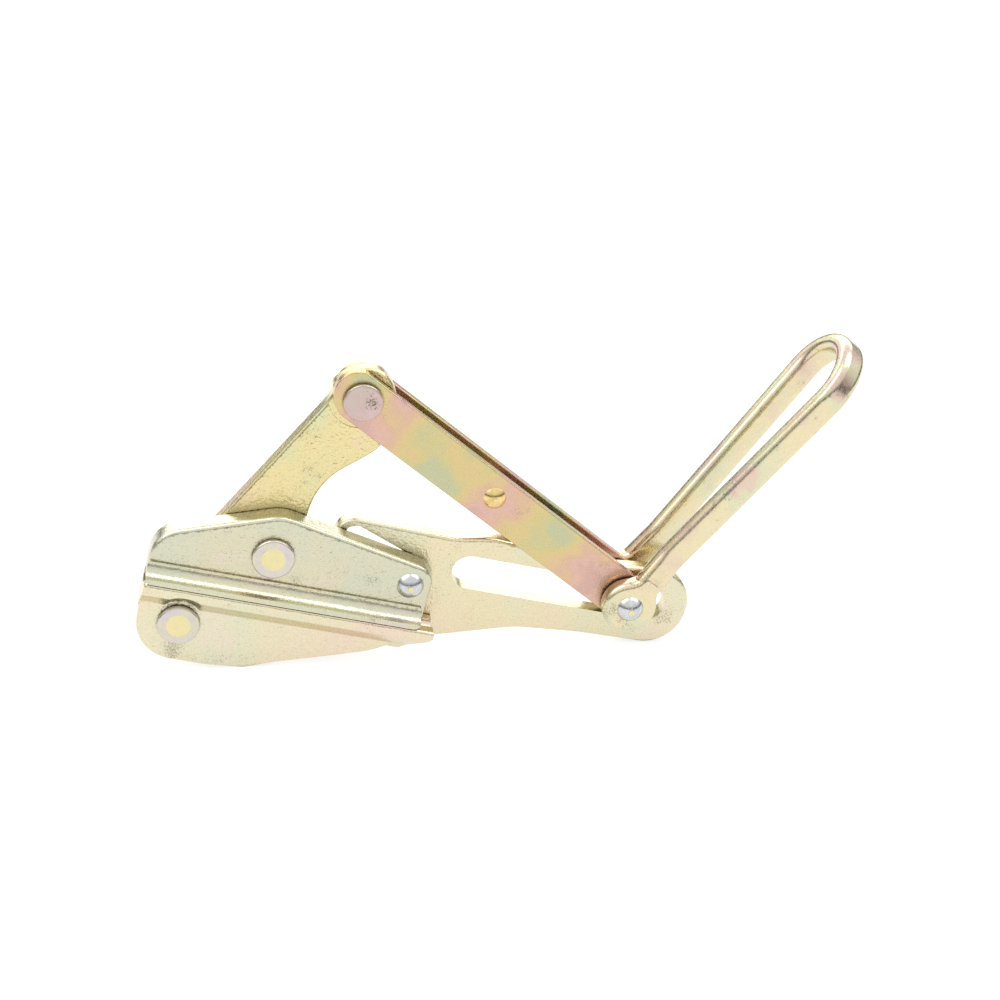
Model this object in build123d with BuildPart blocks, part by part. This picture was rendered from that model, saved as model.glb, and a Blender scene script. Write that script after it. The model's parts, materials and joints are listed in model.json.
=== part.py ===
from build123d import *
from math import asin, atan2, cos, hypot, radians, sin
import os

os.makedirs("parts", exist_ok=True)

# A forged parallel-jaw wire grip. Every side view is drawn in grip coordinates: u runs along the
# cable towards the tail, v stands square to it, and both start at the lever's main pivot.
# Depths are plain Y: the near side, where the cable is laid in, is negative.

# ---- how the grip stands: on the lower jaw's keel and the tail's heel ----
stand_angle = 12.9          # the cable line dips this much towards the tail
pivot_x = -111.55           # main pivot, from the middle of the grip's length
pivot_z = 61.94             # main pivot, above the bench
grip = Plane(
    origin=(pivot_x, 0, pivot_z),
    x_dir=(cos(radians(stand_angle)), 0, -sin(radians(stand_angle))),
    z_dir=(0, -1, 0),
)

# ---- the four-bar layout, in grip coordinates ----
lever_pivot = (0.0, 0.0)
jaw_pivot = (-37.7, -45.2)      # lever to lower jaw
link_pivot = (24.3, 87.7)       # lever to side links
rear_pivot = (70.3, -2.6)       # guide rivet and rear link
bail_pivot = (182.9, 7.9)       # side links, bail and guide slot
rear_jaw_pivot = (rear_pivot[0] + jaw_pivot[0], rear_pivot[1] + jaw_pivot[1])
spacer_along = 85.0             # spacer, along the links from the lever
spacer_above = 0.9              # and above their centre line

# ---- thicknesses and side gaps ----
lever_thick = 9.6
tail_thick = 9.0
jaw_gap = 0.4                   # lever to jaw plate
link_side_gap = 0.3             # lever to link, and link to bail eye
link_thick = 4.8
eye_thick = 9.8
jaw_plate_thick = 11.0
jaw_bar_depth = 18.8            # jaw bar, from its far face to its near lip
rear_link_thick = 5.0
rear_link_gap = 0.4
carrier_thick = 6.0             # far arm of the tail

jaw_far = -(lever_thick / 2 + jaw_gap)
plate_near = jaw_far - jaw_plate_thick
lip_near = jaw_far - jaw_bar_depth
link_in = lever_thick / 2 + link_side_gap
link_out = link_in + link_thick
eye_in = link_out + link_side_gap
eye_out = eye_in + eye_thick
carrier_near = lever_thick / 2 + jaw_gap
carrier_far = carrier_near + carrier_thick
rear_link_near = tail_thick / 2 + rear_link_gap
rear_link_far = rear_link_near + rear_link_thick

# ---- pins, washers and rivets ----
pin_radius = 6.0
pin_clearance = 0.05
washer_radius = 10.4
link_washer_radius = 9.6
washer_thick = 3.0
washer_gap = 0.3                # washer or head to a piece that turns under it
washer_round = 0.9
guide_pin_radius = 4.6
guide_head_radius = 6.75
guide_head_height = 4.0
spacer_pin_radius = 4.0
spacer_head_radius = 5.7
spacer_head_height = 2.6
spacer_radius = 6.5
rear_pin_radius = 4.5
rear_pin_depth = 7.0            # rear pin, into the lower jaw's plate
rear_head_radius = 7.5

# ---- jaws ----
jaw_line = -22.4                # upper jaw's face
closed_gap = 0.3                # between the jaws with no cable in
lower_face = jaw_line - closed_gap
seat_v = jaw_line - closed_gap / 2
jaw_left = -59.0
upper_right = 81.0
lower_right = 87.2
seat_radius = 4.0
seat_y = -13.4                  # middle of the cable seat
plate_round = 2.4
hollow_top = -13.0              # the upper plate's face ends here and the hollow begins
hollow_step = 1.2
hollow_rise = 1.5
lip_height = 2.7
bar_right = 79.4                # near end of the upper jaw bar
pad_radius = 12.0
jaw_boss_radius = 20.6          # lower jaw, round its pivot
ledge_depth = 5.6               # lower jaw's lip, down its near face
ledge_root = 13.0               # lower jaw's ledge, down to where it meets the plate
relief_radius = 12.5            # hollow round the jaw pin, at the plate
relief_flare = 6.0
lug_radius = 7.5

# ---- lever ----
spot_radius = 16.5              # machined flat round the link pin, each side
spot_depth = 0.3
lever_round = 1.8

# ---- tail ----
slot_line = 4.75
slot_left = 100.75
slot_right = 196.2
slot_radius = 9.25
heel_right = 217.9
heel_top = 27.6
heel_bottom = -17.22
heel_radius = 20.5
tail_round = 2.0
arm_hub_radius = 12.5
arm_block_left = 29.5
arm_block_right = 45.0
arm_round = 1.2
rear_link_head = 9.0            # rear link, round the guide rivet
rear_link_foot = 7.5            # and round its own pin
rear_link_round = 0.8

# ---- links ----
link_half_width = 12.3
link_round = 0.6

# ---- bail ----
bail_angle = 64.9               # bail to the cable line
bail_length = 173.0             # pin to outer end
bail_bar_width = 14.2           # across the leg, in the plane the bail swings in
bail_bar_thick = 9.6
bail_bar_round = 4.0            # or as much of it as the bar's thickness allows
bar_round_share = 0.47          # the most that the round takes of the thickness
bail_end_radius = 21.6          # middle of the bar round the closed end
neck_start = 15.0               # legs run straight out of the eyes this far
waist = 33.0                    # and are closest together here, then spread
waist_in = 1.6                  # how far each leg comes in from the eye to the waist
bail_bend = 30.0
eye_radius = 14.0
neck_round = 12.0
eye_round = 3.2
neck_length = 20.0
neck_inset = 1.3                # neck, in from each edge of the bar
leg_start = 8.0                 # the bar starts this far inside the eye


def side(y):
    """The side-view plane at depth y, facing the near side."""
    return grip.offset(-y)


def section(u):
    """The plane square to the cable at u; its x is world Y and its y is v."""
    return Plane(origin=grip.from_local_coords((u, 0, 0)), x_dir=(0, 1, 0), z_dir=grip.x_dir)


def axial(at):
    """A plane through the pin axis at a pivot; its x is a radius and its y is world Y."""
    turned = grip.x_dir.cross(Vector(0, 1, 0))
    return Plane(origin=grip.from_local_coords((at[0], at[1], 0)), x_dir=grip.x_dir, z_dir=turned)


def toward(start, end, y):
    """The side-view plane at depth y, moved to start and turned so its x points at end."""
    origin = side(y).from_local_coords((start[0], start[1], 0))
    tip = side(y).from_local_coords((end[0], end[1], 0))
    return Plane(origin=origin, x_dir=tip - origin, z_dir=grip.z_dir)


def pin_axis(at):
    return Axis(grip.from_local_coords((at[0], at[1], 0)), (0, 1, 0))


def finish(piece, label):
    piece.part.label = label
    export_step(piece.part, f"parts/{label}.step")


def add_washer(at, near, label, radius=washer_radius):
    """A collar washer on a 12 mm pin, its near face at depth near."""
    with BuildPart() as washer:
        with BuildSketch(side(near + washer_thick)):
            with Locations(at):
                Circle(radius)
                Circle(pin_radius, mode=Mode.SUBTRACT)
        extrude(amount=washer_thick)
        rims = washer.edges().filter_by(GeomType.CIRCLE)
        fillet(rims.filter_by(lambda rim: rim.radius > radius - 0.1), washer_round)
    finish(washer, label)


def add_pin(at, near, far, label):
    """A plain pin whose ends finish flush with its washers."""
    with BuildPart() as pin:
        with BuildSketch(side(far)):
            with Locations(at):
                Circle(pin_radius)
        extrude(amount=far - near)
    finish(pin, label)


def add_rivet(at, near, far, shank, head, height, label):
    """A rivet with a domed head on each side."""
    with BuildPart() as rivet:
        with BuildSketch(axial(at)):
            with BuildLine():
                TangentArc((0, near - height), (head, near), tangent=(1, 0))
                Polyline((head, near), (shank, near), (shank, far), (head, far))
                TangentArc((0, far + height), (head, far), tangent=(1, 0))
                Line((0, far + height), (0, near - height))
            make_face()
        revolve(axis=pin_axis(at))
    finish(rivet, label)


# ---- upper jaw: plate, jaw bar with its hollow flank, and the cable seat ----
with BuildPart() as upper_plate:
    with BuildSketch(side(jaw_far)):
        with BuildLine():
            FilletPolyline(
                (jaw_left, jaw_line),
                (jaw_left, 1.2),
                (0.2, 22.6),
                (upper_right, 7.3),
                (upper_right, jaw_line),
                radius=[2.0, 17.0, 22.0, 10.0, 3.0],
                close=True,
            )
        make_face()
    extrude(amount=jaw_plate_thick)
    fillet(upper_plate.faces().sort_by(Axis.Y)[0].edges(), plate_round)

with BuildPart() as upper_jaw:
    with BuildSketch(section(jaw_left)):
        with BuildLine():
            Polyline(
                (lip_near, jaw_line + lip_height),
                (lip_near, jaw_line),
                (jaw_far, jaw_line),
                (jaw_far, hollow_top),
                (plate_near - hollow_step, hollow_top),
                (plate_near - hollow_step, hollow_top - hollow_rise),
            )
            ThreePointArc(
                (plate_near - hollow_step, hollow_top - hollow_rise),
                (plate_near - 3.2, hollow_top - 4.9),
                (lip_near, jaw_line + lip_height),
            )
        make_face()
    extrude(amount=bar_right - jaw_left)
    with BuildSketch(side(0)):
        with BuildLine():
            FilletPolyline(
                (jaw_left, jaw_line),
                (jaw_left, hollow_top),
                (bar_right, hollow_top),
                (bar_right, jaw_line),
                radius=[3.0, 0.5, 2.5, 3.5],
                close=True,
            )
        make_face()
    extrude(amount=-lip_near, mode=Mode.INTERSECT)
    add(upper_plate.part)
    with BuildSketch(side(-tail_thick / 2)):
        with Locations(rear_pivot):
            Circle(pad_radius)
    extrude(amount=jaw_gap + (lever_thick - tail_thick) / 2)
    with BuildSketch(section(jaw_left - 1)):
        with Locations((seat_y, seat_v)):
            Circle(seat_radius)
    extrude(amount=upper_right - jaw_left + 2, mode=Mode.SUBTRACT)
    with BuildSketch(side(0)):
        with Locations(lever_pivot):
            Circle(pin_radius)
        with Locations(rear_pivot):
            Circle(guide_pin_radius)
    extrude(amount=-lip_near, mode=Mode.SUBTRACT)
finish(upper_jaw, "upper_jaw")

# ---- lower jaw: plate, ledge under the cable seat, and the rear lug ----
with BuildPart() as lower_jaw:
    with BuildSketch(section(jaw_left)):
        with BuildLine():
            FilletPolyline(
                (jaw_far, lower_face - ledge_root - 3.0),
                (jaw_far, lower_face),
                (lip_near, lower_face),
                (lip_near, lower_face - ledge_depth),
                (plate_near - 0.2, lower_face - ledge_root),
                (plate_near + 1.0, lower_face - ledge_root - 3.0),
                radius=[0.0, 0.0, 1.6, 2.6, 3.0, 0.0],
                close=True,
            )
        make_face()
    extrude(amount=lower_right - jaw_left)
    with BuildSketch(side(0)):
        with BuildLine():
            FilletPolyline(
                (jaw_left, lower_face - ledge_root - 4),
                (jaw_left, lower_face),
                (lower_right, lower_face),
                (lower_right, -26.5),
                (84.0, -29.0),
                (72.0, lower_face - ledge_root - 4),
                radius=[0.5, 2.5, 0.8, 2.5, 3.0, 2.0],
                close=True,
            )
        make_face()
    extrude(amount=-lip_near, mode=Mode.INTERSECT)
    with BuildSketch(side(jaw_far)):
        with BuildLine():
            left_end = FilletPolyline(
                (80.0, -30.5),
                (80.0, lower_face),
                (jaw_left, lower_face),
                (jaw_left, -28.0),
                (jaw_pivot[0] - jaw_boss_radius, jaw_pivot[1]),
                radius=[0.2, 2.0, 6.0],
            )
            foot = (jaw_pivot[0], jaw_pivot[1] - jaw_boss_radius)
            ThreePointArc(
                left_end @ 1,
                (
                    jaw_pivot[0] - jaw_boss_radius * sin(radians(45)),
                    jaw_pivot[1] - jaw_boss_radius * cos(radians(45)),
                ),
                foot,
            )
            FilletPolyline(
                foot,
                (-20.0, -65.8),
                (-1.0, -63.9),
                (12.6, -58.4),
                (45.0, -47.6),
                (59.1, -42.5),
                (80.0, -30.5),
                radius=[30.0, 12.0, 5.0, 20.0, 30.0],
            )
        make_face()
    extrude(amount=jaw_plate_thick)
    with BuildSketch(side(plate_near)):
        with Locations(jaw_pivot):
            Circle(relief_radius)
    with BuildSketch(side(lip_near - 1)):
        with Locations(jaw_pivot):
            Circle(relief_radius + relief_flare * (plate_near - lip_near + 1) / (plate_near - lip_near))
    loft(mode=Mode.SUBTRACT)
    with BuildSketch(side(tail_thick / 2)):
        with Locations(rear_jaw_pivot):
            Circle(lug_radius)
    extrude(amount=tail_thick / 2 - jaw_far)
    with BuildSketch(section(jaw_left - 1)):
        with Locations((seat_y, seat_v)):
            Circle(seat_radius)
    extrude(amount=lower_right - jaw_left + 2, mode=Mode.SUBTRACT)
    with BuildSketch(side(0)):
        with Locations(jaw_pivot):
            Circle(pin_radius)
    extrude(amount=-lip_near, mode=Mode.SUBTRACT)
    with BuildSketch(side(tail_thick / 2)):
        with Locations(rear_jaw_pivot):
            Circle(rear_pin_radius)
    extrude(amount=tail_thick / 2 - jaw_far + rear_pin_depth, mode=Mode.SUBTRACT)
finish(lower_jaw, "lower_jaw")

# ---- lever: forged arm from the lower jaw, past the main pivot, to the side links ----
with BuildPart() as lever:
    with BuildSketch(side(lever_thick / 2)):
        with BuildLine():
            Spline(
                (9.5, -14.5),
                (14.4, 4.0),
                (13.3, 22.2),
                (20.5, 43.5),
                (39.7, 64.1),
                (43.5, 78.0),
                (40.7, 91.8),
                (25.3, 102.8),
                (9.4, 90.0),
                (7.0, 78.0),
                tangents=[(0.65, 0.76), (-0.46, -0.89)],
            )
            Polyline((7.0, 78.0), (-31.7, 4.3), (-51.2, -38.6))
            ThreePointArc((-51.2, -38.6), (-47.0, -56.9), (-27.4, -56.1))
            Polyline((-27.4, -56.1), (-8.0, -35.0), (9.5, -14.5))
        make_face()
    extrude(amount=lever_thick)
    flats = lever.faces().filter_by(Axis.Y)
    fillet(flats.edges(), lever_round)
    for y in (lever_thick / 2, -lever_thick / 2 + spot_depth):
        with BuildSketch(side(y)):
            with Locations(link_pivot):
                Circle(spot_radius)
        extrude(amount=spot_depth, mode=Mode.SUBTRACT)
    with BuildSketch(side(lever_thick / 2)):
        with Locations(lever_pivot, jaw_pivot, link_pivot):
            Circle(pin_radius + pin_clearance)
    extrude(amount=lever_thick, mode=Mode.SUBTRACT)
finish(lever, "lever")

# ---- guide tail: slotted plate, with the far arm that carries the main pivot ----
with BuildPart() as guide_tail:
    with BuildSketch(side(tail_thick / 2)):
        with BuildLine():
            FilletPolyline(
                (28.6, 23.0),
                (89.0, 21.6),
                (107.0, 25.5),
                (172.0, 22.8),
                (heel_right, heel_top),
                (heel_right, heel_bottom),
                (165.0, -18.8),
                (132.0, -22.0),
                (92.5, -34.6),
                (78.0, -28.0),
                (58.0, -15.0),
                (28.6, -12.0),
                radius=[10.0, 40.0, 30.0, 40.0, heel_radius, heel_radius, 60.0, 50.0, 3.0, 8.0, 15.0, 5.0],
                close=True,
            )
        make_face()
    extrude(amount=tail_thick)
    fillet(guide_tail.faces().filter_by(Axis.Y).edges(), tail_round)
    with BuildSketch(side(tail_thick / 2)):
        with Locations(((slot_left + slot_right) / 2, slot_line)):
            SlotCenterToCenter(slot_right - slot_left, 2 * slot_radius)
        with Locations(rear_pivot):
            Circle(guide_pin_radius)
    extrude(amount=tail_thick, mode=Mode.SUBTRACT)

with BuildPart() as tail_arm:
    with BuildSketch(side(carrier_far)):
        with BuildLine():
            FilletPolyline(
                (0.0, -arm_hub_radius),
                (arm_block_right, -14.0),
                (arm_block_right, 0.5),
                (14.0, 2.5),
                (0.0, arm_hub_radius),
                radius=[4.0, 3.0, 6.0],
            )
            Line((0.0, arm_hub_radius), (0.0, -arm_hub_radius))
        make_face()
        with Locations(lever_pivot):
            Circle(arm_hub_radius)
    extrude(amount=carrier_thick)
    fillet(tail_arm.faces().sort_by(Axis.Y)[-1].edges(), arm_round)
    with BuildSketch(side(carrier_near + 1.0)):
        with Locations(((arm_block_left + arm_block_right) / 2, -5.5)):
            Rectangle(arm_block_right - arm_block_left - 1.5, 10.0)
    extrude(amount=carrier_near - tail_thick / 2 + 2.0)
    add(guide_tail.part)
    with BuildSketch(side(carrier_far)):
        with BuildLine():
            FilletPolyline(
                (34.0, 4.5),
                (34.0, 17.6),
                (39.5, 19.6),
                (66.5, 9.6),
                (59.0, 3.0),
                radius=[3.0, 3.0, 3.0, 1.5, 3.0],
                close=True,
            )
        make_face()
        with Locations(lever_pivot):
            Circle(pin_radius)
    extrude(amount=carrier_far + tail_thick / 2, mode=Mode.SUBTRACT)
finish(tail_arm, "guide_tail")

# ---- side links: one plate each side of the lever, the tail and the bail pin ----
link_span = hypot(bail_pivot[0] - link_pivot[0], bail_pivot[1] - link_pivot[1])


def add_link(near, label, nosed):
    """One side plate; the near one has a clipped nose, the far one a plain round end."""
    with BuildPart() as link:
        with BuildSketch(toward(link_pivot, bail_pivot, near + link_thick)):
            if nosed:
                with BuildLine():
                    top = Line((link_span, link_half_width), (-8.4, link_half_width))
                    nose = Line(top @ 1, (-13.3, 8.6))
                    ThreePointArc(nose @ 1, (-15.4, 0.0), (-9.6, -9.4))
                    FilletPolyline(
                        (-9.6, -9.4),
                        (-4.0, -link_half_width),
                        (link_span, -link_half_width),
                        radius=4.0,
                    )
                    ThreePointArc(
                        (link_span, -link_half_width),
                        (link_span + link_half_width, 0.0),
                        top @ 0,
                    )
                make_face()
            else:
                with Locations((link_span / 2, 0.0)):
                    SlotCenterToCenter(link_span, 2 * link_half_width)
            Circle(pin_radius, mode=Mode.SUBTRACT)
            with Locations((spacer_along, spacer_above)):
                Circle(spacer_pin_radius, mode=Mode.SUBTRACT)
            with Locations((link_span, 0.0)):
                Circle(guide_pin_radius + pin_clearance, mode=Mode.SUBTRACT)
        extrude(amount=link_thick)
        for flat in link.faces().filter_by(Axis.Y):
            fillet(flat.outer_wire().edges(), link_round)
    finish(link, label)


add_link(-link_out, "near_link", nosed=True)
add_link(link_in, "far_link", nosed=False)

# ---- rear link: hidden link that keeps the lower jaw parallel ----
with BuildPart() as rear_link:
    with BuildSketch(side(rear_link_far)):
        with Locations(rear_pivot):
            Circle(rear_link_head)
        with Locations(rear_jaw_pivot):
            Circle(rear_link_foot)
        make_hull()
    extrude(amount=rear_link_thick)
    fillet(rear_link.faces().filter_by(Axis.Y).edges(), rear_link_round)
    with BuildSketch(side(rear_link_far)):
        with Locations(rear_pivot):
            Circle(guide_pin_radius + pin_clearance)
        with Locations(rear_jaw_pivot):
            Circle(rear_pin_radius + pin_clearance)
    extrude(amount=rear_link_thick, mode=Mode.SUBTRACT)
finish(rear_link, "rear_link")

# ---- bail: bent bar with a flattened eye each side ----
bail_dir = grip.x_dir * cos(radians(bail_angle)) + grip.y_dir * sin(radians(bail_angle))
bail_side = bail_dir.cross(Vector(0, 1, 0))
bail_plane = Plane(
    origin=grip.from_local_coords((bail_pivot[0], bail_pivot[1], 0)),
    x_dir=bail_dir,
    z_dir=bail_side,
)
leg_middle = (eye_in + eye_out) / 2
leg_waist = leg_middle - waist_in
end_middle = bail_length - bail_bar_thick / 2 - bail_end_radius
reach = hypot(end_middle - waist, leg_waist)
spread = asin(bail_end_radius / reach) - atan2(leg_waist, end_middle - waist)
touch = (end_middle - bail_end_radius * sin(spread), bail_end_radius * cos(spread))
neck_half = bail_bar_width / 2 - neck_inset


def add_eye(near):
    """One flattened eye with its neck, to be joined to the bent bar."""
    eye_face = Plane(
        origin=side(near).from_local_coords((bail_pivot[0], bail_pivot[1], 0)),
        x_dir=bail_dir,
        z_dir=(0, 1, 0),
    )
    with BuildPart() as eye:
        with BuildSketch(eye_face) as outline:
            Circle(eye_radius)
            with Locations((neck_length / 2, 0.0)):
                Rectangle(neck_length, 2 * neck_half)
            crooks = [v for v in outline.vertices() if 1.0 < v.X < neck_length - 1.0]
            fillet(crooks, neck_round)
        extrude(amount=eye_thick)
        fillet(eye.faces().filter_by(Axis.Y).edges(), eye_round)
        with BuildSketch(eye_face):
            Circle(guide_pin_radius)
        extrude(amount=eye_thick, mode=Mode.SUBTRACT)
    return eye.part


eyes = [add_eye(near) for near in (-eye_out, eye_in)]

with BuildPart() as bail:
    with BuildLine(bail_plane) as bail_path:
        FilletPolyline(
            (leg_start, -leg_middle),
            (neck_start, -leg_middle),
            (waist, -leg_waist),
            (touch[0], -touch[1]),
            radius=bail_bend,
        )
        ThreePointArc((touch[0], -touch[1]), (end_middle + bail_end_radius, 0), touch)
        FilletPolyline(
            touch,
            (waist, leg_waist),
            (neck_start, leg_middle),
            (leg_start, leg_middle),
            radius=bail_bend,
        )
    leg_foot = bail_plane.from_local_coords((leg_start, -leg_middle, 0))
    with BuildSketch(Plane(origin=leg_foot, x_dir=(0, 1, 0), z_dir=bail_dir)):
        RectangleRounded(bail_bar_thick, bail_bar_width, min(bail_bar_round, bar_round_share * bail_bar_thick))
    sweep(path=bail_path.wires()[0])
    add(eyes)
finish(bail, "bail")

# ---- pins, washers, rivets and the spacer ----
near_face = plate_near - washer_thick
add_pin(lever_pivot, near_face, carrier_far + washer_thick, "lever_pin")
add_washer(lever_pivot, near_face, "lever_pin_near_washer")
add_washer(lever_pivot, carrier_far, "lever_pin_far_washer")

jaw_pin_far = lever_thick / 2 + washer_gap
add_pin(jaw_pivot, near_face, jaw_pin_far + washer_thick, "jaw_pin")
add_washer(jaw_pivot, near_face, "jaw_pin_near_washer")
add_washer(jaw_pivot, jaw_pin_far, "jaw_pin_far_washer")

add_pin(link_pivot, -link_out - washer_thick, link_out + washer_thick, "link_pin")
add_washer(link_pivot, -link_out - washer_thick, "link_pin_near_washer", link_washer_radius)
add_washer(link_pivot, link_out, "link_pin_far_washer", link_washer_radius)

add_rivet(
    rear_pivot,
    plate_near,
    rear_link_far + washer_gap,
    guide_pin_radius,
    guide_head_radius,
    guide_head_height,
    "guide_rivet",
)
add_rivet(
    bail_pivot, -eye_out, eye_out, guide_pin_radius, guide_head_radius, guide_head_height, "bail_pin"
)

spacer_local = toward(link_pivot, bail_pivot, 0).from_local_coords((spacer_along, spacer_above, 0))
spacer_at = grip.to_local_coords(spacer_local)
spacer = (spacer_at.X, spacer_at.Y)
add_rivet(
    spacer,
    -link_out,
    link_out,
    spacer_pin_radius,
    spacer_head_radius,
    spacer_head_height,
    "spacer_rivet",
)
with BuildPart() as spacer_sleeve:
    with BuildSketch(side(link_in)):
        with Locations(spacer):
            Circle(spacer_radius)
            Circle(spacer_pin_radius, mode=Mode.SUBTRACT)
    extrude(amount=2 * link_in)
finish(spacer_sleeve, "spacer_sleeve")

with BuildPart() as rear_link_pin:
    with BuildSketch(side(rear_link_far + washer_gap)):
        with Locations(rear_jaw_pivot):
            Circle(rear_pin_radius)
    extrude(amount=rear_link_far + washer_gap - jaw_far + rear_pin_depth)
    with BuildSketch(side(rear_link_far + washer_gap + washer_thick)):
        with Locations(rear_jaw_pivot):
            Circle(rear_head_radius)
    extrude(amount=washer_thick)
    fillet(rear_link_pin.faces().sort_by(Axis.Y)[-1].edges(), washer_round)
finish(rear_link_pin, "rear_link_pin")
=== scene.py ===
# %% [markdown]
# # A forged wire grip
# This lesson dresses a wire grip, the clamp that a line worker hooks to a hoist to pull a cable.
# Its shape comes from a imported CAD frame. Here it gets its surfaces, its small worked details,
# a pale studio and a camera.

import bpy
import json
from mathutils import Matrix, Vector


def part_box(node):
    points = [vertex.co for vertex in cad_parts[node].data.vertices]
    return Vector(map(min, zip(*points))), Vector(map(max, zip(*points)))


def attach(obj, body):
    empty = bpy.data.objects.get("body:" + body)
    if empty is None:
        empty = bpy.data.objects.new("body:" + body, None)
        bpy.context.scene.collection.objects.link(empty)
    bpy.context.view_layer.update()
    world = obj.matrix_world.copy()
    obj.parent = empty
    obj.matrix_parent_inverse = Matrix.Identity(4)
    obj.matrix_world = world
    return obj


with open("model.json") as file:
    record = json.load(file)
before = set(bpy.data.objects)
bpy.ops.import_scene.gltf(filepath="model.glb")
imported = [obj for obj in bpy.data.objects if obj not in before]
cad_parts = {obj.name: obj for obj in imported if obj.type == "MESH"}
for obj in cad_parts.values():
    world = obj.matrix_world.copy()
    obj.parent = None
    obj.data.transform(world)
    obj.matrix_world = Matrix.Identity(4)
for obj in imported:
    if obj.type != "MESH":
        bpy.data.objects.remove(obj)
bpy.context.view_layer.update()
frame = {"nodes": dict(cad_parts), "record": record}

# %% [markdown]
# ## Tools of the trade
# Everything is in metres, so a size in millimetres is multiplied by mm. Colours are written as the
# hex values that a colour picker shows, and one function turns them to the linear values that a
# shader expects. Materials could be wired by hand in the shader editor. Here one small function adds
# a node with its settings and links, so that a whole tree can be read from top to bottom.

# %% Helpers for colours and nodes
import json
import math

import bmesh
import bpy
from mathutils import Matrix, Vector

mm = 0.001


def linear(hex_value):
    channels = [int(hex_value[i : i + 2], 16) / 255 for i in (1, 3, 5)]
    return [c / 12.92 if c <= 0.04045 else ((c + 0.055) / 1.055) ** 2.4 for c in channels] + [1.0]


def add_node(tree, kind, settings=None, **links):
    """Adds a node; a link given as a socket is joined, and anything else is set as a value."""
    node = tree.nodes.new(kind)
    for name, value in (settings or {}).items():
        setattr(node, name, value)
    for name, value in links.items():
        key = int(name[1:]) if name[0] == "i" and name[1:].isdigit() else name.replace("_", " ")
        socket = node.inputs[key]
        if isinstance(value, bpy.types.NodeSocket):
            tree.links.new(value, socket)
        else:
            socket.default_value = value
    return node


print("straw gold in linear light:", [round(c, 3) for c in linear("#d9cf9a")[:3]])

# %% [markdown]
# ## Camera
# The grip is seen from a little to the left of straight on, from above the bench. A long lens keeps
# its sides nearly parallel. A camera could be turned by hand or made to track an empty. Three unit
# vectors, its right, up and back, say the same thing exactly and need nothing else in the scene.

# %% Place the camera
camera_data = bpy.data.cameras.new("camera")
camera_data.lens = 75.6
camera_data.sensor_width = 36.0
camera = bpy.data.objects.new("camera", camera_data)
bpy.context.scene.collection.objects.link(camera)
aim = Vector((2.0, 0.0, 82.5)) * mm
distance = 1.05
back = Vector((-0.1422, -0.8827, 0.4480)).normalized()
right = Vector((0.9896, -0.1366, 0.0449))
right = (right - back * right.dot(back)).normalized()
up = back.cross(right)
turned = Matrix((right, up, back)).transposed().to_4x4()
camera.matrix_world = Matrix.Translation(aim + back * distance) @ turned
bpy.context.scene.camera = camera
print("camera at", [round(c, 3) for c in camera.matrix_world.translation])

# %% [markdown]
# ## Yellow chromate: the film
# The forgings are steel, tumbled and zinc plated, then dipped in a yellow chromate bath. The bath
# leaves a thin film whose thickness wanders, so straw gold drifts to faint rose and green. A painted
# map could show it, but a slow noise through a colour ramp needs no map and runs on over every edge.
# On the side links the film also changes along the length, so a cosine can be added to the noise.

# %% The colour of the film
band_swing = 0.11  # how far a band moves the colour along the ramp
ramp_start = 0.30  # the noise seldom leaves the middle of its range, so the colours sit there
ramp_span = 0.40


def film_colour(tree, place, colours, drift_mm, bands):
    """colours run along a slow drift. bands is a start, a direction, the place of the first band
    along it and the step to the next, all in metres."""
    drift = add_node(
        tree,
        "ShaderNodeTexNoise",
        Vector=place,
        Scale=1 / (drift_mm * mm),
        Detail=3.0,
        Roughness=0.5,
        Distortion=0.25,
    )
    film = drift.outputs["Fac"]
    if bands:
        start, along, first, step = bands
        subtract, dot = {"operation": "SUBTRACT"}, {"operation": "DOT_PRODUCT"}
        scale_and_add = {"operation": "MULTIPLY_ADD"}
        reach = add_node(tree, "ShaderNodeVectorMath", subtract, i0=place, i1=start)
        run = add_node(tree, "ShaderNodeVectorMath", dot, i0=reach.outputs[0], i1=along)
        cycles = {"i1": math.tau / step, "i2": -math.tau * first / step}
        turn = add_node(tree, "ShaderNodeMath", scale_and_add, i0=run.outputs["Value"], **cycles)
        wave = add_node(tree, "ShaderNodeMath", {"operation": "COSINE"}, i0=turn.outputs[0])
        swing = {"i0": wave.outputs[0], "i1": band_swing, "i2": film}
        film = add_node(tree, "ShaderNodeMath", scale_and_add, **swing).outputs[0]
    ramp = add_node(tree, "ShaderNodeValToRGB", Fac=film)
    stops = ramp.color_ramp.elements
    while len(stops) < len(colours):
        stops.new(0.5)
    for i, colour in enumerate(colours):
        stops[i].position = ramp_start + ramp_span * i / (len(colours) - 1)
        stops[i].color = linear(colour)
    return ramp.outputs["Color"]


print("band swing:", band_swing)

# %% [markdown]
# ## Dark scale
# Forging leaves a dark scale, and shot blasting misses a little of it. It shows as specks of under a
# millimetre that gather in loose patches a centimetre or so across. They could be scattered as
# decals, but the product of a fine noise and a coarse one gives both sizes in two nodes. One patch
# can be called up at a chosen point, where a piece is scuffed.

# %% Specks and scuffs
speck_mm = 0.9
patch_mm = 14
scuff_lift = 0.19  # how much more scale there is in the middle of a scuff


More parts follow.
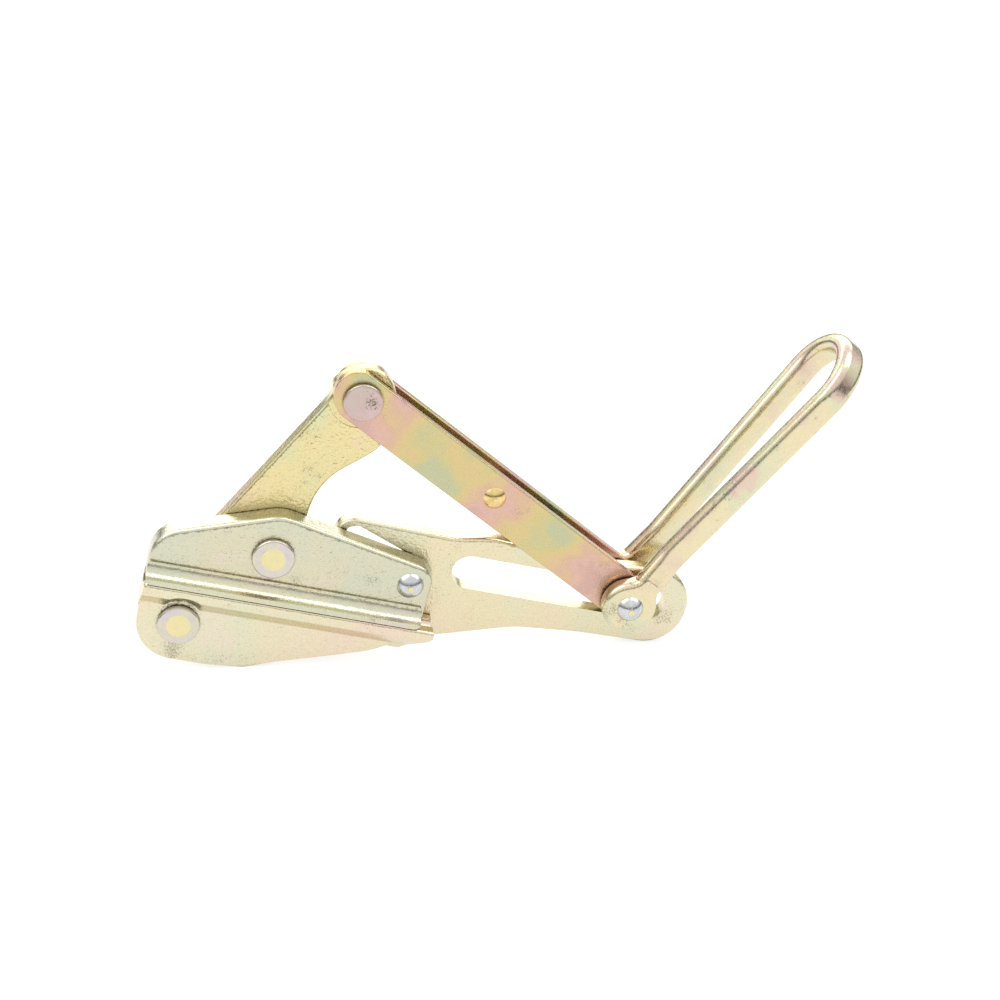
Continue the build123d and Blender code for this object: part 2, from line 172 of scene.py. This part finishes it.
def dark_scale(tree, place, colour, speckle, scuff_at, scuff_mm):
    specks = add_node(
        tree, "ShaderNodeTexNoise", Vector=place, Scale=1 / (speck_mm * mm), Detail=4.0, Roughness=0.7
    )
    where = add_node(tree, "ShaderNodeTexNoise", Vector=place, Scale=1 / (patch_mm * mm), Detail=2.0)
    away = add_node(tree, "ShaderNodeVectorMath", {"operation": "DISTANCE"}, i0=place, i1=scuff_at)
    near_scuff = add_node(
        tree,
        "ShaderNodeMapRange",
        Value=away.outputs["Value"],
        From_Min=0.0,
        From_Max=scuff_mm * mm,
        To_Min=scuff_lift,
        To_Max=0.0,
    )
    adding, product = {"operation": "ADD"}, {"operation": "MULTIPLY"}
    dirty = add_node(tree, "ShaderNodeMath", adding, i0=where.outputs["Fac"], i1=near_scuff.outputs[0])
    both = add_node(tree, "ShaderNodeMath", product, i0=specks.outputs["Fac"], i1=dirty.outputs[0])
    dirt = add_node(
        tree, "ShaderNodeMapRange", Value=both.outputs[0], From_Min=0.36, From_Max=0.42, To_Max=speckle
    )
    specked = add_node(
        tree,
        "ShaderNodeMix",
        {"data_type": "RGBA"},
        Factor=dirt.outputs[0],
        i6=colour,
        i7=linear("#6f6a5c"),
    )
    return specked.outputs[2]


print("specks", speck_mm, "mm, in patches of", patch_mm, "mm")

# %% [markdown]
# ## Painted shade in the creases
# The creases are darkened to a dark gold in the colour itself: this is painted shade. They could be
# painted as a mask. Ambient occlusion finds them by itself on every piece: it measures how much of
# the space near a point is closed in.

# %% Painted shade in the creases
crease_mm = 3.0


def painted_crease_shade(tree, colour):
    crease = add_node(tree, "ShaderNodeAmbientOcclusion", {"samples": 4}, Distance=crease_mm * mm)
    open_part = add_node(
        tree,
        "ShaderNodeMapRange",
        Value=crease.outputs["AO"],
        From_Min=0.15,
        From_Max=0.70,
        To_Min=0.0,
        To_Max=1.0,
    )
    # painted shade: the colour is mixed towards dark gold where the crease is closed in
    tint = add_node(
        tree,
        "ShaderNodeMix",
        {"data_type": "RGBA"},
        Factor=open_part.outputs[0],
        i6=linear("#6e5f38"),
        i7=colour,
    )
    return tint.outputs[2]


print("creases within", crease_mm, "mm")

# %% [markdown]
# ## The grain of the skin
# A forged skin has a grain of a millimetre or two over shallow hollows a few millimetres across. A
# turned one has only a fine grain. Both layers could be real displacement, but relief this shallow
# needs only bump. Tumbling leaves the flats grainy and wears the edges smooth, so the bump fades
# where a face turns away from the flat sides.

# %% Two layers of relief
flat_from = 0.93  # a face that looks less straight on than this has turned away
edge_grain = 0.22  # the share of the grain that is left there
edge_dents = 0.25  # and of the dents


def relief(tree, place, grain, grain_depth, dents_mm, dent_depth):
    """Returns the bumped normal: broad dents first, and the grain on top of them."""
    facing = add_node(tree, "ShaderNodeNewGeometry").outputs["Normal"]
    across = add_node(tree, "ShaderNodeSeparateXYZ", Vector=facing).outputs["Y"]
    flat = add_node(tree, "ShaderNodeMath", {"operation": "ABSOLUTE"}, i0=across).outputs[0]
    turning = {"Value": flat, "From_Min": flat_from, "From_Max": 1.0}
    rough = add_node(
        tree, "ShaderNodeMapRange", To_Min=edge_grain * grain_depth, To_Max=grain_depth, **turning
    )
    hollow = add_node(
        tree, "ShaderNodeMapRange", To_Min=edge_dents * dent_depth, To_Max=dent_depth, **turning
    )
    dents = add_node(
        tree, "ShaderNodeTexNoise", Vector=place, Scale=1 / (dents_mm * mm), Detail=2.0, Roughness=0.5
    )
    low = add_node(
        tree,
        "ShaderNodeBump",
        Height=dents.outputs["Fac"],
        Strength=hollow.outputs[0],
        Distance=1.0 * mm,
    )
    fine = add_node(
        tree,
        "ShaderNodeBump",
        Height=grain,
        Strength=rough.outputs[0],
        Distance=0.3 * mm,
        Normal=low.outputs["Normal"],
    )
    return fine.outputs["Normal"]


print("bump fades from", flat_from)

# %% [markdown]
# ## The whole plating
# The film, the scale, the painted shade in the creases and the grain come together in one metallic
# shader. Each could be a node group, but as functions their numbers stay in view. The grain also
# mottles the colour by a few hundredths, and makes the roughness vary a little.

# %% The plating material
def plated(
    name,
    colours,
    drift_mm,
    grain_mm,
    grain_depth,
    roughness,
    speckle=0.5,
    dents_mm=3.5,
    dent_depth=0.25,
    scuff_at=(0, 0, -1),
    scuff_mm=1.0,
    bands=None,
):
    """Chromate on steel, with sizes in millimetres. scuff_at is a point in metres."""
    material = bpy.data.materials.new(name)
    material.use_nodes = True
    tree = material.node_tree
    tree.nodes.clear()
    place = add_node(tree, "ShaderNodeTexCoord").outputs["Object"]
    colour = film_colour(tree, place, colours, drift_mm, bands)
    colour = dark_scale(tree, place, colour, speckle, scuff_at, scuff_mm)
    # painted shade: darkens the colour in the creases
    colour = painted_crease_shade(tree, colour)
    grain = add_node(
        tree, "ShaderNodeTexNoise", Vector=place, Scale=1 / (grain_mm * mm), Detail=4.0, Roughness=0.6
    ).outputs["Fac"]
    mottle = add_node(
        tree, "ShaderNodeMapRange", Value=grain, From_Min=0.35, From_Max=0.65, To_Min=0.955, To_Max=1.04
    )
    mottled = add_node(
        tree,
        "ShaderNodeMix",
        {"data_type": "RGBA", "blend_type": "MULTIPLY"},
        Factor=1.0,
        i6=colour,
        i7=mottle.outputs[0],
    )
    bumped = relief(tree, place, grain, grain_depth, dents_mm, dent_depth)
    gloss = add_node(
        tree,
        "ShaderNodeMapRange",
        Value=grain,
        From_Min=0.3,
        From_Max=0.7,
        To_Min=roughness - 0.05,
        To_Max=roughness + 0.07,
    )
    shader = add_node(
        tree,
        "ShaderNodeBsdfPrincipled",
        Base_Color=mottled.outputs[2],
        Metallic=1.0,
        Roughness=gloss.outputs[0],
        Normal=bumped,
    )
    add_node(tree, "ShaderNodeOutputMaterial", Surface=shader.outputs["BSDF"])
    return material


print("plating ready")

# %% [markdown]
# ## The forged skins
# The jaws, the lever and the tail are drop forged, shot blasted, plated and dipped. Their flats
# keep a grain of a millimetre or two. The colour comes from the thickness of the film, so it drifts
# slowly, over five or six centimetres, from straw to pale green and faint rose. Where scale was left
# before plating, a patch of dark specks shows, and each forging has one in a place of its own. One
# skin could serve all four, but pieces that were dipped apart never match quite, and the small
# differences of tint help the eye to tell them apart.

# %% Skins for the four big forgings
def middle(node, x=0.5, y=0.5, z=0.5):
    """A point of a node's box, as fractions of its sides, in metres."""
    low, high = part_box(node)
    return tuple(low[i] + (high[i] - low[i]) * share for i, share in enumerate((x, y, z)))


def forging(name, colours, scuff_at, scuff_mm):
    """A drop forged skin: a slow drift, a coarse grain and shallow dents."""
    return plated(
        name,
        colours,
        drift_mm=55.0,
        grain_mm=1.5,
        grain_depth=0.8,
        roughness=0.25,
        dents_mm=3.0,
        dent_depth=0.45,
        scuff_at=scuff_at,
        scuff_mm=scuff_mm,
    )


# The upper jaw is the greyest and greenest of the four.
upper_skin = forging(
    "forged_steel_pale_green_chromate",
    ["#d4cabc", "#d0cbb4", "#cccdb6", "#d4cdb2", "#dccfc2"],
    middle("upper_jaw", 0.66, 0.0, 0.55),
    16.0,
)
# The lower jaw is warmer, with a wide patch of scale low on its left.
lower_skin = forging(
    "forged_steel_straw_chromate",
    ["#e4cdbe", "#e2d4b8", "#e0d6b8", "#dad7ba", "#e3d3c2"],
    middle("lower_jaw", 0.14, 0.2, 0.12),
    34.0,
)
# The lever has the deepest gold of the forgings.
lever_skin = forging(
    "forged_steel_gold_chromate",
    ["#e0c2b6", "#e2cbaa", "#e2d29e", "#ded29e", "#d4d4aa", "#e4d6ac"],
    middle("lever", 0.2, 0.2, 0.6),
    9.0,
)
# The tail is a light gold, with scale low on its right.
tail_skin = forging(
    "forged_steel_light_gold_chromate",
    ["#e2ccbc", "#e2d3b4", "#dfd5b2", "#d9d5b8", "#e1d5b8"],
    middle("guide_tail", 0.97, 0.2, 0.1),
    22.0,
)
print("forged skins:", len(bpy.data.materials))

# %% [markdown]
# ## The side links
# These are sheared from rolled bar, flatter and smoother than the forgings, and their film is
# deeper: rose at the ends and green gold in two places along the length. A noise alone would put the
# bands anywhere, so a cosine along the link adds to it, and the noise only roughens their edges.

# %% Banded plate for the side links
link_start = Vector(middle("link_pin"))
link_end = Vector(middle("bail_pin"))
link_reach = (link_end - link_start).length
link_along = (link_end - link_start).normalized()
first_band = 0.30 * link_reach
band_step = 0.40 * link_reach
# Rolled plate has a finer, shallower grain than a forging, and hardly a dent.
links_plate = plated(
    "rolled_plate_yellow_chromate",
    ["#cba89c", "#d5b0a2", "#d2b096", "#d4b890", "#d2be88", "#c8be8c", "#bcbc98"],
    drift_mm=30.0,
    grain_mm=0.6,
    grain_depth=0.4,
    roughness=0.27,
    speckle=0.45,
    dent_depth=0.06,
    bands=(tuple(link_start), tuple(link_along), first_band, band_step),
)
print("bands every", round(band_step / mm), "mm")

# %% [markdown]
# ## Bent bar, washers, pins and rivets
# The bail is hot bent bar with a smoother skin. The washers and pins are turned, so their grain is
# fine: the washers are a mauve grey, and the pin ends straw and more matt. The rivet heads are
# bright steel, snapped to a dome, and the one between the links has kept its gold film. They are
# all the same plating with other numbers, which is less to go wrong than six separate trees.

# %% Finishes for the small parts
# Hot bent bar has a shallow grain over broad dents, and scale above and left of its pin.
bar = plated(
    "bent_bar_yellow_chromate",
    ["#d4bcaa", "#dccab0", "#dfd2ac", "#dcd2b0", "#d2d2b0", "#d8c0b0"],
    drift_mm=30.0,
    grain_mm=1.4,
    grain_depth=0.3,
    roughness=0.24,
    speckle=0.55,
    dents_mm=6.0,
    dent_depth=0.30,
    scuff_at=middle("bail_pin", -0.2, 0.0, 1.2),
    scuff_mm=34.0,
)
# The washers are the least coloured of the plated finishes.
violet = plated(
    "turned_washer_violet_chromate",
    ["#c8c1c2", "#d0c8c2", "#d2ccb8", "#c8c0c2"],
    drift_mm=10.0,
    grain_mm=0.5,
    grain_depth=0.25,
    roughness=0.24,
    speckle=0.45,
    dent_depth=0.05,
)
# Pin ends are faced off. They are the mattest of the finishes, with hardly a speck.
pin_end = plated(
    "turned_pin_yellow_chromate",
    ["#e2d6a6", "#e6daa6", "#ded4ae"],
    drift_mm=8.0,
    grain_mm=0.4,
    grain_depth=0.35,
    roughness=0.36,
    speckle=0.15,
    dent_depth=0.05,
)
# The top pin has a rose film, and a dark scuff on its right.
rose_pin = plated(
    "turned_pin_rose_chromate",
    ["#d0b6b2", "#c8b2ac", "#c4baac"],
    drift_mm=7.0,
    grain_mm=0.5,
    grain_depth=0.3,
    roughness=0.33,
    speckle=0.95,
    dent_depth=0.08,
    scuff_at=middle("link_pin", 0.82, 0.0, 0.55),
    scuff_mm=7.5,
)
# Snapped steel heads have next to no colour, and shallow hollows.
dome = plated(
    "polished_steel_dome",
    ["#bfc1c6", "#d0d2d4", "#c6c4bc"],
    drift_mm=5.0,
    grain_mm=0.6,
    grain_depth=0.2,
    roughness=0.22,
    speckle=0.2,
    dents_mm=2.5,
    dent_depth=0.3,
)
# The same head with its gold film still on.
gold_dome = plated(
    "domed_rivet_gold_chromate",
    ["#e0c07c", "#ead094", "#d8b874"],
    drift_mm=5.0,
    grain_mm=0.5,
    grain_depth=0.12,
    roughness=0.2,
    speckle=0.15,
    dents_mm=2.5,
    dent_depth=0.25,
)
print("finishes made:", len(bpy.data.materials))

# %% [markdown]
# ## Which piece gets which finish
# Each node of the frame names a slot, such as forging or turned pin, and the slot picks its finish.
# The big forgings came out of the bath at different moments, so each has a tint of its own, and
# the top pin and its washer have the rose film of a part that was dipped a little longer. Materials
# could be handed out one node at a time, but a table leaves no node forgotten.

# %% Give every node its finish
finishes = {
    "plated_forging": lever_skin,
    "plated_bar": links_plate,
    "turned_washer": violet,
    "turned_pin": pin_end,
    "polished_rivet": dome,
    "gold_rivet": gold_dome,
}
special = {
    "upper_jaw": upper_skin,
    "lower_jaw": lower_skin,
    "guide_tail": tail_skin,
    "bail": bar,
    "link_pin": rose_pin,
    "link_pin_near_washer": rose_pin,
}
slots = {part["node"]: part["material_slot"] for part in frame["record"]["subparts"]}
for name, node in frame["nodes"].items():
    node.data.materials.clear()
    node.data.materials.append(special.get(name, finishes[slots[name]]))
print("nodes finished:", len(slots))

# %% [markdown]
# ## Centre nibs
# Each domed rivet head carries a low nib in its middle, such as a snap die with a vent would leave,
# and it shows as a straw dot. The nib could be drawn in the material, but its edge catches the
# light, so it is made as geometry: a short cylinder whose outer face is inset twice and sunk a
# little in the middle, and whose edges are softened by a Bevel modifier.

# %% Make the nibs
nib_height = 0.7 * mm
nib_sunk = 0.05 * mm  # how far the cylinder's middle is inside the top of the dome
rim_share = 0.30  # the width of the flat rim, as a share of the radius
dish_share = 0.25  # the width of the slope inside it
dish_depth = 0.12 * mm
edge_round = 0.12 * mm


def nib(name, node, body, radius_mm):
    """A low stepped nib on the near dome of a rivet."""
    low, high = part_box(node)
    radius = radius_mm * mm
    place = ((low[0] + high[0]) / 2, low[1] + nib_sunk, (low[2] + high[2]) / 2)
    facing_front = (math.pi / 2, 0, 0)
    bpy.ops.object.select_all(action="DESELECT")
    bpy.ops.mesh.primitive_cylinder_add(
        vertices=32, radius=radius, depth=nib_height, location=place, rotation=facing_front
    )
    piece = bpy.context.object
    piece.name = name
    bpy.ops.object.transform_apply(location=True, rotation=True, scale=True)
    bpy.ops.object.mode_set(mode="EDIT")
    bpy.ops.mesh.select_mode(type="FACE")
    bpy.ops.mesh.select_all(action="DESELECT")
    shell = bmesh.from_edit_mesh(piece.data)
    for face in shell.faces:
        face.select = face.normal.y < -0.9
    bmesh.update_edit_mesh(piece.data)
    bpy.ops.mesh.inset(thickness=rim_share * radius)
    bpy.ops.mesh.inset(thickness=dish_share * radius, depth=-dish_depth)
    bpy.ops.object.mode_set(mode="OBJECT")
    soften = piece.modifiers.new("soften", "BEVEL")
    soften.width = edge_round
    soften.segments = 2
    bpy.ops.object.modifier_apply(modifier="soften")
    bpy.ops.object.shade_smooth_by_angle(angle=math.radians(40))
    piece.data.materials.append(pin_end)
    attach(piece, body)
    nearest = min(v.co.y for v in piece.data.vertices) / mm
    print(name, "faces", len(piece.data.polygons), "nearest y", round(nearest, 2), "mm")


nib("guide_rivet_nib", "guide_rivet", "frame", 1.5)
nib("bail_pin_nib", "bail_pin", "bail", 1.6)
nib("spacer_rivet_nib", "spacer_rivet", "side_links", 1.0)

# %% [markdown]
# ## The studio
# Metal shows what stands round it, so the light is as much of the look as the colour is. The upright
# faces mirror the white table in front of the grip, and the rounded edges mirror the dim room at
# eye level, which draws them as thin dark lines. The table could be lit from above until it was
# white, but then the grip's shadow on it would be darker, so most of its light is its own.

# %% The lit white table
table_side = 9.0
bpy.ops.object.select_all(action="DESELECT")
bpy.ops.mesh.primitive_plane_add(size=table_side, location=(0, 0, 0))
table = bpy.context.object
table.name = "table"
white = bpy.data.materials.new("lit_white_table")
white.use_nodes = True
surface = white.node_tree.nodes["Principled BSDF"]
surface.inputs["Base Color"].default_value = linear("#8c8c8c")
surface.inputs["Roughness"].default_value = 0.9
surface.inputs["Emission Color"].default_value = linear("#ffffff")
surface.inputs["Emission Strength"].default_value = 0.80
table.data.materials.append(white)
print("table of", table_side, "m laid")

# %% [markdown]
# ## The room
# The room is a pale tent with a dark band at eye level. It could be built from walls. One ramp over
# the height of a direction does the same for the reflections. The band is there only for the metal
# to mirror, so the backdrop itself, as it is seen straight on past the table, is plain white.

# %% The room
world = bpy.data.worlds.new("studio")
bpy.context.scene.world = world
world.use_nodes = True
room = world.node_tree
room.nodes.clear()
direction = add_node(room, "ShaderNodeTexCoord").outputs["Generated"]
height = add_node(room, "ShaderNodeSeparateXYZ", Vector=direction).outputs["Z"]
sky = add_node(room, "ShaderNodeValToRGB", Fac=height)
for position, colour in ((0.0, "#2e2e2c"), (0.10, "#2a2a28"), (0.19, "#b4b4b2"), (0.42, "#fafafa")):
    stop = sky.color_ramp.elements.new(position) if 0.0 < position else sky.color_ramp.elements[0]
    stop.position = position
    stop.color = linear(colour)
sky.color_ramp.elements[-1].color = linear("#ffffff")
lit = add_node(room, "ShaderNodeBackground", Color=sky.outputs["Color"], Strength=1.12)
backdrop = add_node(room, "ShaderNodeBackground", Color=linear("#ffffff"), Strength=1.05)
seen = add_node(room, "ShaderNodeLightPath").outputs["Is Camera Ray"]
both_rooms = add_node(
    room,
    "ShaderNodeMixShader",
    i0=seen,
    i1=lit.outputs["Background"],
    i2=backdrop.outputs["Background"],
)
add_node(room, "ShaderNodeOutputWorld", Surface=both_rooms.outputs["Shader"])
print("room stops:", len(sky.color_ramp.elements))

# %% [markdown]
# ## Soft boxes
# Three large area lights soften the room: one on each side, and one behind that runs a white line
# along every edge that faces up. Small lamps would be simpler, but metal would show each of them
# as a hard spot. An area light is turned to its target by asking for the rotation that points its
# own -Z there.

# %% Three soft boxes
target = (0, 0, 0.05)


def soft_box(name, place, width, height, watts):
    light = bpy.data.lights.new(name, "AREA")
    light.shape = "RECTANGLE"
    light.size = width
    light.size_y = height
    light.energy = watts
    lamp = bpy.data.objects.new(name, light)
    bpy.context.scene.collection.objects.link(lamp)
    lamp.location = place
    lamp.rotation_euler = (Vector(target) - Vector(place)).to_track_quat("-Z", "Y").to_euler()


soft_box("left_box", (-0.9, -0.2, 1.4), 0.7, 1.4, 7)
soft_box("right_box", (0.9, 0.0, 1.4), 0.7, 1.4, 7)
soft_box("back_box", (0.3, 2.4, 1.5), 5.0, 1.7, 34)
bpy.context.scene.view_settings.view_transform = "Standard"
